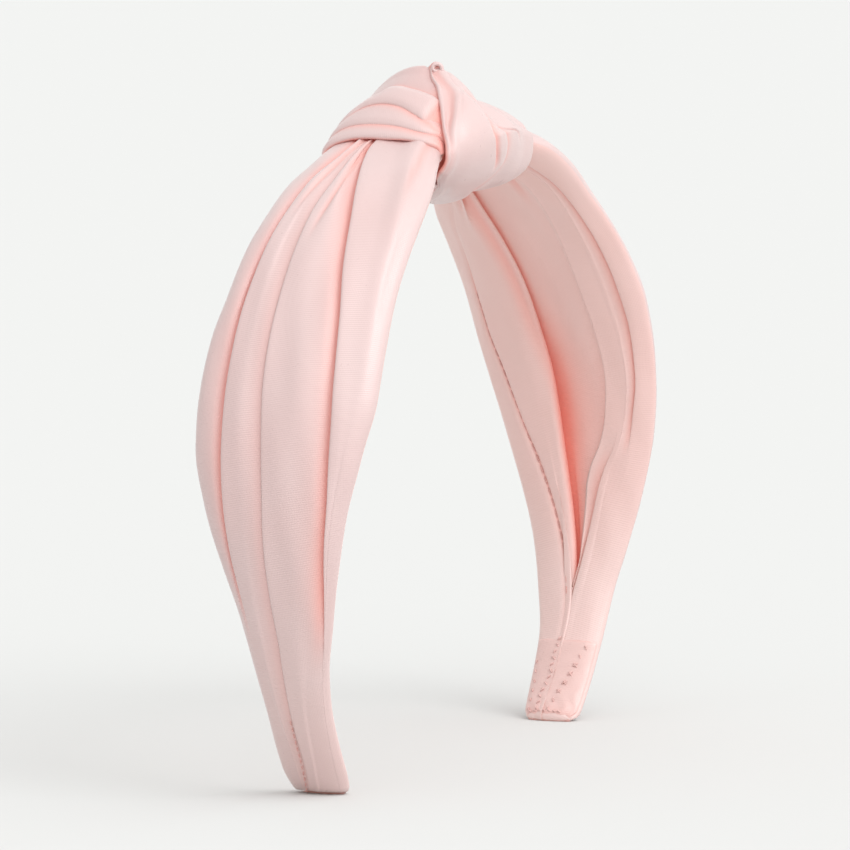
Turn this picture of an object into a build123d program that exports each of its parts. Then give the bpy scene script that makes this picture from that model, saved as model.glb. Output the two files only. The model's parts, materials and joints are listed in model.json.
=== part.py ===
"""A knotted satin headband: a sprung plastic core in pleated satin sleeves, with a satin knot at the crown.

Millimetres. +Z is up, X runs from ear to ear and -Y is the wearer's front. The origin is on the floor, midway
between the tips that the headband stands on.
"""
from math import asin, cos, degrees, radians, sin, sqrt
import os

from build123d import *

# The arch: one arc over the crown, and one arc a side from the widest point down to the tip.
CROWN_RADIUS = 74.0
WIDEST_HEIGHT = 50.0
TIP_SPACING = 112.0
CROWN_HEIGHT = WIDEST_HEIGHT + CROWN_RADIUS
TIP_INSET = CROWN_RADIUS - TIP_SPACING / 2
SIDE_RADIUS = (WIDEST_HEIGHT**2 + TIP_INSET**2) / (2 * TIP_INSET)

# The core: a flat strip that tapers towards the tips.
CORE_THICKNESS = 1.5
CORE_WIDTHS = ((2.5, 7.0), (WIDEST_HEIGHT, 11.0), (CROWN_HEIGHT, 17.0))  # height, width
CORE_TIP_CORNER = 2.5

# Where the core bends, under the sides of the knot.
FLEX_X = 14.0
FLEX_GAP = 0.7
FLEX_ANGLE = degrees(asin(FLEX_X / CROWN_RADIUS))
HALF_GAP_ANGLE = degrees(FLEX_GAP / 2 / CROWN_RADIUS)

# The pleated sleeves: height, width front to back, and thickness. The lowest one is cut off by the floor.
SLEEVE_TOP_X = 22.5
SLEEVE_TOP = WIDEST_HEIGHT + sqrt(CROWN_RADIUS**2 - SLEEVE_TOP_X**2)
SLEEVE_SECTIONS = (
    (-5.0, 9.0, 4.6),
    (6.0, 12.0, 5.2),
    (20.0, 15.5, 6.4),
    (38.0, 22.5, 8.6),
    (58.0, 32.5, 10.6),
    (80.0, 38.5, 11.0),
    (100.0, 36.0, 10.4),
    (112.0, 29.5, 9.6),
    (SLEEVE_TOP, 22.0, 9.0),
)

# The satin turned up over the inside of each tip.
TIP_WRAP_THICKNESS = 0.6
TIP_WRAP_HEIGHT = 16.5

# The gathered satin that passes through the knot, round the core.
GATHER_WIDTH = 20.0
GATHER_THICKNESS = 6.0
GATHER_CORNER = 2.6

# The knot's outline: distance along X, then half its width and half its height round the crown arc.
KNOT_SECTIONS = (
    (-19.5, 12.0, 6.5),
    (-14.5, 14.2, 9.6),
    (-7.0, 15.4, 12.2),
    (0.0, 15.6, 13.8),
    (7.0, 15.2, 12.2),
    (13.0, 13.8, 9.6),
    (19.0, 12.0, 6.5),
)
KNOT_CHANNEL_END_X = 24.0
WRAP_TURN = 41.0  # from the band's length to the wrap's rear edge
TUCK_X = 7.0
TUCK_TURN = 78.0

# Thread.
THREAD_RADIUS = 0.22
SEAM_STITCH = 2.2
SEAM_PITCH = 3.4
SEAM_SPAN = (19.0, 86.0)  # heights
SEAM_SHARES = (0.2, 0.86)  # of the sleeve's half width, at those heights
HAND_STITCH = 1.5
HAND_ROWS = ((2.4, -1.6, 15.0), (-3.4, -0.6, 12.0))  # Y at the row's top, Y at its foot, height of its top
HAND_COUNT = 6
PLEAT_STITCH = 1.3
PLEAT_STITCH_COUNT = 7
PLEAT_STITCH_PITCH = 2.6
PLEAT_START = 1.6
PLEAT_Y = 1.4


def station(height):
    """X of the centreline of the +X leg at a height, and its outward normal there as (x, z)."""
    radius = CROWN_RADIUS if height >= WIDEST_HEIGHT else SIDE_RADIUS
    rise = (height - WIDEST_HEIGHT) / radius
    across = sqrt(1 - rise**2)
    return CROWN_RADIUS - radius + radius * across, across, rise


def leg_plane(side, height):
    """The plane across a leg at a height: its x runs to the rear, its normal up the leg."""
    x, across, rise = station(height)
    return Plane(origin=(side * x, 0, height), x_dir=(0, 1, 0), z_dir=(-side * rise, 0, across))


def sleeve_size(height):
    """Width and thickness of a sleeve at a height, between its sections."""
    for low, high in zip(SLEEVE_SECTIONS, SLEEVE_SECTIONS[1:]):
        if height <= high[0]:
            share = (height - low[0]) / (high[0] - low[0])
            return tuple(a + share * (b - a) for a, b in zip(low[1:], high[1:]))
    return SLEEVE_SECTIONS[-1][1:]


def on_sleeve(side, height, y, face, lift=0.0):
    """A point on a sleeve's outer (face 1) or inner (face -1) surface, or this far proud of it."""
    x, across, rise = station(height)
    width, thickness = sleeve_size(height)
    out = face * (lift + thickness / 2 * sqrt(1 - (2 * y / width) ** 2))
    return Vector(side * (x + out * across), y, height + out * rise)


def save(part, label):
    """Labels a finished piece and writes its STEP file."""
    part.label = label
    export_step(part, f"parts/{label}.step")


def make_core_leg(side, label):
    """Half of the core, from beside the knot to the tip."""
    half = CORE_THICKNESS / 2
    side_centre = (side * (CROWN_RADIUS - SIDE_RADIUS), WIDEST_HEIGHT)
    tip_angle = degrees(asin((WIDEST_HEIGHT - CORE_WIDTHS[0][0]) / SIDE_RADIUS))
    top_angle = 90 - FLEX_ANGLE - HALF_GAP_ANGLE
    start = 0 if side > 0 else 180
    with BuildPart() as core:
        with BuildSketch(Plane.XZ):
            with BuildLine():
                upper = [
                    CenterArc((0, WIDEST_HEIGHT), CROWN_RADIUS + out, start, side * top_angle)
                    for out in (half, -half)
                ]
                lower = [
                    CenterArc(side_centre, SIDE_RADIUS + out, start, -side * tip_angle)
                    for out in (half, -half)
                ]
                Line(upper[0] @ 1, upper[1] @ 1)
                Line(lower[0] @ 1, lower[1] @ 1)
            make_face()
        extrude(amount=CORE_WIDTHS[-1][1], both=True)
        with BuildSketch(Plane.YZ):
            edge = [(width / 2, height) for height, width in CORE_WIDTHS]
            with BuildLine():
                Polyline(*edge, *[(-y, z) for y, z in reversed(edge)], close=True)
            taper = make_face()
            fillet(taper.vertices().sort_by(Axis.Z)[:2], CORE_TIP_CORNER)
        extrude(amount=side * 2 * CROWN_RADIUS, mode=Mode.INTERSECT)
    save(core.part, label)
    return core.part


def make_sleeve(side, core, label):
    """A satin sleeve as its outer shape, closed at the tip, with the core's pocket inside."""
    with BuildPart() as sleeve:
        for height, width, thickness in SLEEVE_SECTIONS:
            with BuildSketch(leg_plane(side, height)):
                Ellipse(width / 2, thickness / 2)
        loft()
        split(bisect_by=Plane.XY, keep=Keep.TOP)
        add(core, mode=Mode.SUBTRACT)
    save(sleeve.part, label)
    return sleeve.part


def make_tip_wrap(side, sleeve, core, label):
    """The end of the satin, turned up over the inside of the tip and sewn down."""
    with BuildPart() as wrap:
        for height in (SLEEVE_SECTIONS[0][0], SLEEVE_SECTIONS[1][0], TIP_WRAP_HEIGHT):
            width, thickness = sleeve_size(height)
            with BuildSketch(leg_plane(side, height)):
                Ellipse(width / 2 + TIP_WRAP_THICKNESS, thickness / 2 + TIP_WRAP_THICKNESS)
        loft()
        split(bisect_by=Plane.XY, keep=Keep.TOP)
        middle = leg_plane(side, TIP_WRAP_HEIGHT / 2)
        back_face = Plane(origin=middle.origin, x_dir=(0, 1, 0), z_dir=-side * middle.y_dir)
        split(bisect_by=back_face, keep=Keep.BOTTOM)
        add(sleeve, mode=Mode.SUBTRACT)
        add(core, mode=Mode.SUBTRACT)
    save(wrap.part, label)


def make_running_stitches(points, length, label):
    """A row of short stitches laid on a surface, one between each point and the next."""
    with BuildPart() as row:
        for low, high in zip(points, points[1:]):
            with Locations(Plane(origin=(low + high) * 0.5, z_dir=high - low)):
                Cylinder(THREAD_RADIUS, length)
    save(row.part, label)


def make_seam_stitches(side, label):
    """The seam that closes the sleeve, on the inside of a leg."""
    low, high = SEAM_SPAN
    low_share, high_share = SEAM_SHARES
    count = round((high - low) / SEAM_PITCH)
    points = []
    for i in range(count + 1):
        height = low + (high - low) * i / count
        share = low_share + (high_share - low_share) * i / count
        points.append(on_sleeve(side, height, share * sleeve_size(height)[0] / 2, -1))
    make_running_stitches(points, SEAM_STITCH, label)


def make_pleat_stitches(side, label):
    """The short row that holds the outer pleat down at the tip."""
    heights = [PLEAT_START + PLEAT_STITCH_PITCH * i for i in range(PLEAT_STITCH_COUNT + 1)]
    make_running_stitches([on_sleeve(side, z, PLEAT_Y, 1) for z in heights], PLEAT_STITCH, label)


def make_tip_stitches(side, label):
    """Two rows of slanted hand stitches that hold the turned-up satin."""
    with BuildPart() as hand:
        for top_y, foot_y, top in HAND_ROWS:
            for i in range(HAND_COUNT):
                share = (i + 0.5) / HAND_COUNT
                height, y = top * (1 - share), top_y + share * (foot_y - top_y)
                slant = Vector(0, (-1) ** i, 0) + leg_plane(side, height).z_dir
                place = on_sleeve(side, height, y, -1, TIP_WRAP_THICKNESS)
                with Locations(Plane(origin=place, z_dir=slant)):
                    Cylinder(THREAD_RADIUS, HAND_STITCH)
    save(hand.part, label)


def crown_plane(angle):
    """The plane across the crown arc at an angle from the top, positive towards +X."""
    a = radians(angle)
    return Plane(
        origin=(CROWN_RADIUS * sin(a), 0, WIDEST_HEIGHT + CROWN_RADIUS * cos(a)),
        x_dir=(0, 1, 0),
        z_dir=(cos(a), 0, -sin(a)),
    )


CROWN_AXIS = Axis((0, 0, WIDEST_HEIGHT), (0, 1, 0))


def make_core_crown():
    """The middle of the core, inside the knot."""
    half_angle = FLEX_ANGLE - HALF_GAP_ANGLE
    with BuildPart() as core:
        with BuildSketch(crown_plane(-half_angle)):
            Rectangle(CORE_WIDTHS[-1][1], CORE_THICKNESS)
        revolve(axis=CROWN_AXIS, revolution_arc=2 * half_angle)
    save(core.part, "core_crown")
    return core.part


def make_crown_gather(core):
    """The gathered satin round the core, where the sleeves run on through the knot."""
    half_angle = FLEX_ANGLE - HALF_GAP_ANGLE
    with BuildPart() as gather:
        with BuildSketch(crown_plane(-half_angle)):
            RectangleRounded(GATHER_WIDTH, GATHER_THICKNESS, GATHER_CORNER)
        revolve(axis=CROWN_AXIS, revolution_arc=2 * half_angle)
        add(core, mode=Mode.SUBTRACT)
    save(gather.part, "crown_gather")


def make_knot_piece(label, cuts):
    """One pass of the knot: its outline less the channel for the band, kept between cutting planes."""
    end_angle = degrees(asin(KNOT_CHANNEL_END_X / CROWN_RADIUS))
    with BuildPart() as wrap:
        for x, half_width, half_height in KNOT_SECTIONS:
            height = WIDEST_HEIGHT + sqrt(CROWN_RADIUS**2 - x**2)
            with BuildSketch(Plane(origin=(x, 0, height), x_dir=(0, 1, 0), z_dir=(1, 0, 0))):
                Ellipse(half_width, half_height)
        loft()
        with BuildSketch(crown_plane(-end_angle)):
            RectangleRounded(GATHER_WIDTH, GATHER_THICKNESS, GATHER_CORNER)
        revolve(axis=CROWN_AXIS, revolution_arc=2 * end_angle, mode=Mode.SUBTRACT)
        for plane, keep in cuts:
            split(bisect_by=plane, keep=keep)
    save(wrap.part, label)


def turned_plane(x, turn):
    """An upright plane through the crown at x, turned from the band's length by an angle."""
    a = radians(turn)
    return Plane(origin=(x, 0, CROWN_HEIGHT), x_dir=(cos(a), sin(a), 0), z_dir=(sin(a), -cos(a), 0))


os.makedirs("parts", exist_ok=True)

crown_core = make_core_crown()
make_crown_gather(crown_core)
wrap_edge = turned_plane(0, WRAP_TURN)
tuck_edge = turned_plane(TUCK_X, TUCK_TURN)
make_knot_piece("knot_pleats", [(wrap_edge, Keep.BOTTOM), (tuck_edge, Keep.BOTTOM)])
make_knot_piece("knot_wrap", [(wrap_edge, Keep.TOP), (tuck_edge, Keep.BOTTOM)])
make_knot_piece("knot_tuck", [(tuck_edge, Keep.TOP)])

for side, name in ((-1, "left"), (1, "right")):
    leg_core = make_core_leg(side, f"core_{name}")
    leg_sleeve = make_sleeve(side, leg_core, f"sleeve_{name}")
    make_tip_wrap(side, leg_sleeve, leg_core, f"tip_wrap_{name}")
    make_seam_stitches(side, f"seam_stitches_{name}")
    make_pleat_stitches(side, f"pleat_stitches_{name}")
    make_tip_stitches(side, f"tip_stitches_{name}")
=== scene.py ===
"""A knotted satin headband: pleated sleeves over a sprung core, with a soft knot at the crown.

Sizes are in millimetres in the band's own frame: X from ear to ear, -Y the wearer's front, +Z up.
Meshes are turned into metres as they are made.
"""

from __future__ import annotations

import json
import logging
import math
from dataclasses import dataclass
from enum import Enum
from typing import Any, Iterable, Sequence

import bpy
import numpy as np
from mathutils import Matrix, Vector


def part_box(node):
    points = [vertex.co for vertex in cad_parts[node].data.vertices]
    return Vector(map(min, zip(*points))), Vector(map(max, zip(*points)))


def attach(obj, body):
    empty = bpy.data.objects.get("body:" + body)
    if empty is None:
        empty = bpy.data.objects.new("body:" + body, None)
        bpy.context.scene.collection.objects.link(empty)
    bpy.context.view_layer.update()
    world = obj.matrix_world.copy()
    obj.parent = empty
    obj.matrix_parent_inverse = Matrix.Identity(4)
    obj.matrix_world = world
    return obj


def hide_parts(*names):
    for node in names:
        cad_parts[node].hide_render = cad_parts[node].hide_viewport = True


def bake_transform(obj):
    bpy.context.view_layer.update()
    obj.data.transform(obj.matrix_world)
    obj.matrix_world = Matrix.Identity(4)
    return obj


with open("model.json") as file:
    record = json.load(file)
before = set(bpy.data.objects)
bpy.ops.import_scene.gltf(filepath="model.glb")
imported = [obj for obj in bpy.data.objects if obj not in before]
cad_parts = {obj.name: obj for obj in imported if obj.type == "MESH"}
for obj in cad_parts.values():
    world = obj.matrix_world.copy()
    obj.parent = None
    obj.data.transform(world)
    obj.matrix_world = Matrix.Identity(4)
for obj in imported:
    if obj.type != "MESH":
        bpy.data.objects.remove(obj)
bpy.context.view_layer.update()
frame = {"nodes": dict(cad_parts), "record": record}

LOG = logging.getLogger("headband")
MM = 0.001

Array = np.ndarray
Table = Sequence[tuple[float, float]]
Colour = tuple[float, float, float]


# ---------------------------------------------------------------------------------------------
# Curves and meshes
# ---------------------------------------------------------------------------------------------


def smooth(table: Table, at: Array | float) -> Array:
    """Reads a table of sizes on a smooth curve that keeps between its neighbours.

    Args:
        table: Pairs of place and size, in order of place.
        at: The places to read.

    Returns:
        The sizes there, held at the end values outside the table.
    """
    xs, ys = (np.array(column, float) for column in zip(*table))
    at = np.clip(np.asarray(at, float), xs[0], xs[-1])
    rise = np.diff(ys) / np.diff(xs)
    slope = np.zeros_like(ys)
    same_way = rise[1:] * rise[:-1] > 0
    slope[1:-1][same_way] = 2 * rise[1:][same_way] * rise[:-1][same_way] / (rise[1:] + rise[:-1])[same_way]
    i = np.clip(np.searchsorted(xs, at, side="right") - 1, 0, len(xs) - 2)
    gap = xs[i + 1] - xs[i]
    t = (at - xs[i]) / gap
    return (
        (2 * t**3 - 3 * t**2 + 1) * ys[i]
        + (t**3 - 2 * t**2 + t) * gap * slope[i]
        + (3 * t**2 - 2 * t**3) * ys[i + 1]
        + (t**3 - t**2) * gap * slope[i + 1]
    )


def fade(at: Array | float, low: float, high: float) -> Array:
    """Rises smoothly from 0 at low to 1 at high."""
    t = np.clip((np.asarray(at, float) - low) / (high - low), 0, 1)
    return t * t * (3 - 2 * t)


def rounded_line(keys: Array, spacing: float) -> Array:
    """Draws a rounded line through key points, the same number of points on every line.

    Args:
        keys: Lines by keys by values. The first two values are the place that sets the rounding.
        spacing: The distance between points, in millimetres.

    Returns:
        Lines by points by values.
    """
    steps = np.linalg.norm(np.diff(keys[:, :, :2], axis=1), axis=2)
    counts = np.maximum(2, np.ceil(np.percentile(steps, 80, axis=0) / spacing)).astype(int)
    knots = np.maximum(steps, 0.02) ** 0.5
    first, last = 2 * keys[:, :1] - keys[:, 1:2], 2 * keys[:, -1:] - keys[:, -2:-1]
    k = np.concatenate([first, keys, last], axis=1)
    d = np.concatenate([knots[:, :1], knots, knots[:, -1:]], axis=1)
    out = []
    for j, count in enumerate(counts):
        p0, p1, p2, p3 = (k[:, j + i, None] for i in range(4))
        d0, d1, d2 = (d[:, j + i, None, None] for i in range(3))
        u = (np.arange(count) / count)[None, :, None]
        m1 = (p2 - p1) - d1 * ((p2 - p0) / (d0 + d1) - (p1 - p0) / d0)
        m2 = (p2 - p1) - d1 * ((p3 - p1) / (d1 + d2) - (p3 - p2) / d2)
        out.append(
            (2 * u**3 - 3 * u**2 + 1) * p1
            + (u**3 - 2 * u**2 + u) * m1
            + (3 * u**2 - 2 * u**3) * p2
            + (u**3 - u**2) * m2
        )
    out.append(keys[:, -1:])
    return np.concatenate(out, axis=1)


def unit(v: Array) -> Array:
    """Vectors at length 1."""
    return v / np.maximum(np.linalg.norm(v, axis=-1, keepdims=True), 1e-9)


def make_object(
    name: str, points: Array, faces: Array, uvs: Array, tint: Array, painted_glow: Array
) -> bpy.types.Object:
    """Makes a smooth mesh object.

    Args:
        name: The piece's name.
        points: Points in millimetres.
        faces: Quads as rows of point numbers.
        uvs: Cloth coordinates of each point, in millimetres.
        tint: How much painted shade each point gets for lying down in a fold, from 0 to 1.
        painted_glow: How much painted glow each point gets, standing in for light through the cloth and from
            inside the arch, from 0 to 1.

    Returns:
        The new object, linked to the scene.
    """
    mesh = bpy.data.meshes.new(name)
    mesh.from_pydata((points * MM).tolist(), [], faces.tolist())
    layer = mesh.uv_layers.new(name="cloth")
    corners = np.empty(len(mesh.loops), np.int32)
    mesh.loops.foreach_get("vertex_index", corners)
    layer.data.foreach_set("uv", (uvs[corners] * MM).astype(np.float32).ravel())
    # the painted shade and painted glow go to the mesh as point attributes
    for word, values in (("fold", tint), ("painted_glow", painted_glow)):
        attribute = mesh.attributes.new(word, "FLOAT", "POINT")
        attribute.data.foreach_set("value", values.astype(np.float32))
    mesh.shade_smooth()
    mesh.update()
    piece = bpy.data.objects.new(name, mesh)
    bpy.context.scene.collection.objects.link(piece)
    return piece


@dataclass
class Cloth:
    """A sheet of cloth as a grid of points: rows along it, columns across it."""

    points: Array
    # painted shade of each point
    tint: Array
    # painted glow of each point
    painted_glow: Array | None = None

    def uvs(self) -> Array:
        """Distances along and across the cloth, in millimetres.

        Returns:
            Across and along, for each point.
        """
        across = np.linalg.norm(np.diff(self.points, axis=1), axis=2)
        along = np.linalg.norm(np.diff(self.points, axis=0), axis=2).mean(axis=1)
        u = np.concatenate([np.zeros((len(self.points), 1)), np.cumsum(across, axis=1)], axis=1)
        u -= u.mean(axis=1, keepdims=True)
        v = np.concatenate([[0.0], np.cumsum(along)])
        return np.stack([u, np.broadcast_to(v[:, None], u.shape)], axis=2)

    def area(self) -> float:
        """The area of one face of the sheet, in square millimetres.

        Returns:
            The area.
        """
        p = self.points
        side, run = p[:-1, 1:] - p[:-1, :-1], p[1:, :-1] - p[:-1, :-1]
        return float(np.linalg.norm(np.cross(side, run), axis=2).sum())

    def grid(self) -> tuple[Array, Array, Array, Array, Array]:
        """Points, quads, cloth coordinates, painted shade and painted glow, for one mesh.

        Returns:
            The five arrays, one row a point or quad.
        """
        rows, columns = self.points.shape[:2]
        index = np.arange(rows * columns).reshape(rows, columns)
        quads = np.stack([index[:-1, :-1], index[:-1, 1:], index[1:, 1:], index[1:, :-1]], axis=-1)
        painted_glow = np.zeros_like(self.tint) if self.painted_glow is None else self.painted_glow
        shape = (self.points.reshape(-1, 3), quads.reshape(-1, 4), self.uvs().reshape(-1, 2))
        return (*shape, self.tint.reshape(-1), painted_glow.reshape(-1))


def make_cloth(name: str, sheets: Iterable[Cloth]) -> bpy.types.Object:
    """Makes one object of one or more sheets.

    Args:
        name: The piece's name.
        sheets: Its sheets.

    Returns:
        The new object.
    """
    parts, start = [], 0
    for sheet in sheets:
        points, faces, *rest = sheet.grid()
        parts.append((points, faces + start, *rest))
        start += len(points)
    return make_object(name, *(np.concatenate(column) for column in zip(*parts)))


def thread_tube(path: Array, radius: float, sides: int = 8) -> Cloth:
    """A tube of thread along a path, tapered to nothing at both ends.

    Args:
        path: Points along its middle.
        radius: Its radius.
        sides: How many sides it has.

    Returns:
        The tube, as a sheet closed on itself.
    """
    run = unit(np.gradient(path, axis=0))
    side = unit(np.cross(run, np.array([0.31, 0.52, 0.79])))
    up = np.cross(run, side)
    angle = np.linspace(0, 2 * math.pi, sides + 1)
    share = np.linspace(0, 1, len(path))
    girth = radius * np.sqrt(np.clip(1 - (2 * share - 1) ** 6, 0, 1))
    ring = side[:, None] * np.cos(angle)[None, :, None] + up[:, None] * np.sin(angle)[None, :, None]
    points = path[:, None] + girth[:, None, None] * ring
    return Cloth(points, np.zeros(points.shape[:2]))


# ---------------------------------------------------------------------------------------------
# Finishes
# ---------------------------------------------------------------------------------------------


class Value:
    """A node's output that can be used in sums."""

    def __init__(self, graph: Graph, socket: bpy.types.NodeSocket) -> None:
        """Wraps one output socket of a graph."""
        self.graph, self.socket = graph, socket

    def __add__(self, other: Value | float) -> Value:
        """This plus other."""
        return self.graph.math("ADD", self, other)

    __radd__ = __add__

    def __sub__(self, other: Value | float) -> Value:
        """This less other."""
        return self.graph.math("SUBTRACT", self, other)

    def __rsub__(self, other: Value | float) -> Value:
        """Other less this."""
        return self.graph.math("SUBTRACT", other, self)

    def __mul__(self, other: Value | float) -> Value:
        """This times other."""
        return self.graph.math("MULTIPLY", self, other)

    __rmul__ = __mul__


class Graph:
    """A node tree that is built from Python expressions."""

    def __init__(self, tree: bpy.types.NodeTree) -> None:
        """Starts on an empty tree."""
        self.tree = tree
        tree.nodes.clear()

    def node(self, kind: str, settings: dict[str, Any], inputs: dict[str | int, Any]) -> bpy.types.Node:
        """Adds a node.

        Args:
            kind: The node's type.
            settings: Its own settings, which are set first.
            inputs: Values, or Value links, by socket name or number.

        Returns:
            The node.
        """
        made = self.tree.nodes.new(kind)
        for key, value in settings.items():
            setattr(made, key, value)
        for key, value in inputs.items():
            if isinstance(value, Value):
                self.tree.links.new(value.socket, made.inputs[key])
            else:
                made.inputs[key].default_value = value
        return made

    def out(
        self, kind: str, settings: dict[str, Any], inputs: dict[str | int, Any], output: str | int = 0
    ) -> Value:
        """Adds a node and returns one of its outputs."""
        return Value(self, self.node(kind, settings, inputs).outputs[output])

    def math(self, operation: str, *values: Value | float) -> Value:
        """Adds a Math node."""
        return self.out("ShaderNodeMath", {"operation": operation}, dict(enumerate(values)))

    def mix(self, share: Value | float, first: Value | Colour, second: Value | Colour) -> Value:
        """Mixes two colours."""
        ends = [x if isinstance(x, Value) else (*x, 1.0) for x in (first, second)]
        return self.out("ShaderNodeMix", {"data_type": "RGBA"}, {0: share, 6: ends[0], 7: ends[1]}, 2)


def new_material(name: str) -> tuple[bpy.types.Material, Graph]:
    """Starts a material on an empty graph.

    Args:
        name: The material's name.

    Returns:
        The material and its graph.
    """
    material = bpy.data.materials.new(name)
    material.use_nodes = True
    return material, Graph(material.node_tree)


@dataclass(frozen=True)
class Satin:
    """Pale satin: fine ribs of weave and a soft sheen, with painted shade, a warmer colour, down in its folds,
    and a painted glow there and where light comes through.
    """

    name: str
    lit: Colour = (0.640, 0.503, 0.495)
    worn: Colour = (0.605, 0.418, 0.404)
    # painted shade: the colour down in the folds, where light bounces and is shaded
    folded: Colour = (0.750, 0.275, 0.220)
    # painted glow down in the folds, made as emission
    glow: Colour = (0.085, 0.012, 0.008)
    # painted glow where light comes through the cloth and from inside the arch, made as emission
    through: Colour = (0.105, 0.066, 0.047)
    rib: float = 0.42
    slant: float = 0.18
    warp_to_rib: float = 1.35
    slub_scale: float = 900.0
    cloud_scale: float = 45.0
    cloud_share: float = 0.9
    rib_share: float = 0.3
    weave_height: float = 0.035
    roughness: float = 0.30
    specular: float = 1.0
    anisotropy: float = 0.35
    sheen: float = 0.35
    sheen_roughness: float = 0.4
    sheen_tint: Colour = (1.0, 0.93, 0.92)

    def make(self) -> bpy.types.Material:
        """Builds the material.

        Returns:
            The new material.
        """
        material, g = new_material(self.name)
        cloth = g.out("ShaderNodeUVMap", {"uv_map": "cloth"}, {})
        split = g.node("ShaderNodeSeparateXYZ", {}, {0: cloth})
        across, along = Value(g, split.outputs[0]), Value(g, split.outputs[1])
        position = g.out("ShaderNodeTexCoord", {}, {}, "Object")
        turns = 2 * math.pi / (self.rib * MM)
        ribs = g.math("SINE", (along + across * self.slant) * turns)
        warp = g.math("SINE", across * (turns * self.warp_to_rib))
        slub = g.out("ShaderNodeTexNoise", {}, {"Vector": position, "Scale": self.slub_scale, "Detail": 3.0})
        cloud = g.out("ShaderNodeTexNoise", {}, {"Vector": position, "Scale": self.cloud_scale, "Detail": 2.0})
        # fold carries the painted shade of each point, the next attribute its painted glow
        fold = g.out("ShaderNodeAttribute", {"attribute_name": "fold"}, {}, "Fac")
        painted_glow = g.out("ShaderNodeAttribute", {"attribute_name": "painted_glow"}, {}, "Fac")
        pale = g.mix(cloud * self.cloud_share, self.lit, self.worn)
        ribbed = g.mix((ribs * 0.5 + 0.5) * self.rib_share, pale, self.worn)
        # painted shade: the fold colour is mixed in down in the folds
        colour = g.mix(fold, ribbed, self.folded)
        height = ribs * 0.6 + warp * 0.25 + slub * 0.5
        weave = {"Strength": 0.5, "Distance": self.weave_height * MM, "Height": height}
        bump = g.out("ShaderNodeBump", {}, weave, "Normal")
        rough = (slub * 0.12) + (fold * 0.2) + (self.roughness - 0.06)
        shader = g.out(
            "ShaderNodeBsdfPrincipled",
            {},
            {
                "Base Color": colour,
                "Roughness": rough,
                "Normal": bump,
                "IOR": 1.45,
                "Specular IOR Level": self.specular,
                "Anisotropic": self.anisotropy,
                # painted glow: emission in the folds and where light comes through the cloth
                "Emission Color": g.mix(fold, g.mix(painted_glow, (0.0, 0.0, 0.0), self.through), self.glow),
                "Emission Strength": 1.0,
                "Sheen Weight": self.sheen,
                "Sheen Roughness": self.sheen_roughness,
                "Sheen Tint": (*self.sheen_tint, 1.0),
            },
        )
        g.node("ShaderNodeOutputMaterial", {}, {"Surface": shader})
        return material


@dataclass(frozen=True)
class Thread:
    """Twisted sewing thread."""

    name: str
    light: Colour
    dark: Colour
    twist: float = 0.35

    def make(self) -> bpy.types.Material:
        """Builds the material.

        Returns:
            The new material.
        """
        material, g = new_material(self.name)
        split = g.node("ShaderNodeSeparateXYZ", {}, {0: g.out("ShaderNodeUVMap", {"uv_map": "cloth"}, {})})
        across, along = Value(g, split.outputs[0]), Value(g, split.outputs[1])
        ply = g.math("SINE", (along + across * 0.6) * (2 * math.pi / (self.twist * MM)))
        colour = g.mix(ply * 0.5 + 0.5, self.light, self.dark)
        bump = g.out("ShaderNodeBump", {}, {"Strength": 0.5, "Distance": 0.05 * MM, "Height": ply}, "Normal")
        shader = g.out(
            "ShaderNodeBsdfPrincipled",
            {},
            {"Base Color": colour, "Roughness": ply * 0.05 + 0.5, "Normal": bump, "Sheen Weight": 0.3},
        )
        g.node("ShaderNodeOutputMaterial", {}, {"Surface": shader})
        return material


@dataclass(frozen=True)
class Moulded:
    """Matt moulded plastic with a fine grain."""

    name: str
    colour: Colour
    speck: Colour

    def make(self) -> bpy.types.Material:
        """Builds the material.

        Returns:
            The new material.
        """
        material, g = new_material(self.name)
        place = g.out("ShaderNodeTexCoord", {}, {}, "Object")
        grain = g.out("ShaderNodeTexNoise", {}, {"Vector": place, "Scale": 1500.0, "Detail": 2.0})
        bump = g.out("ShaderNodeBump", {}, {"Strength": 0.2, "Distance": 0.04 * MM, "Height": grain}, "Normal")
        shader = g.out(
            "ShaderNodeBsdfPrincipled",
            {},
            {
                "Base Color": g.mix(grain, self.colour, self.speck),
                "Roughness": grain * 0.1 + 0.5,
                "Normal": bump,
            },
        )
        g.node("ShaderNodeOutputMaterial", {}, {"Surface": shader})
        return material


# ---------------------------------------------------------------------------------------------
# The band
# ---------------------------------------------------------------------------------------------


class Side(Enum):
    """The two legs of the band, with the sign of X on that side."""

    LEFT = -1
    RIGHT = 1

    @property
    def word(self) -> str:
        """The side's name in the nodes."""
        return self.name.lower()


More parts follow.
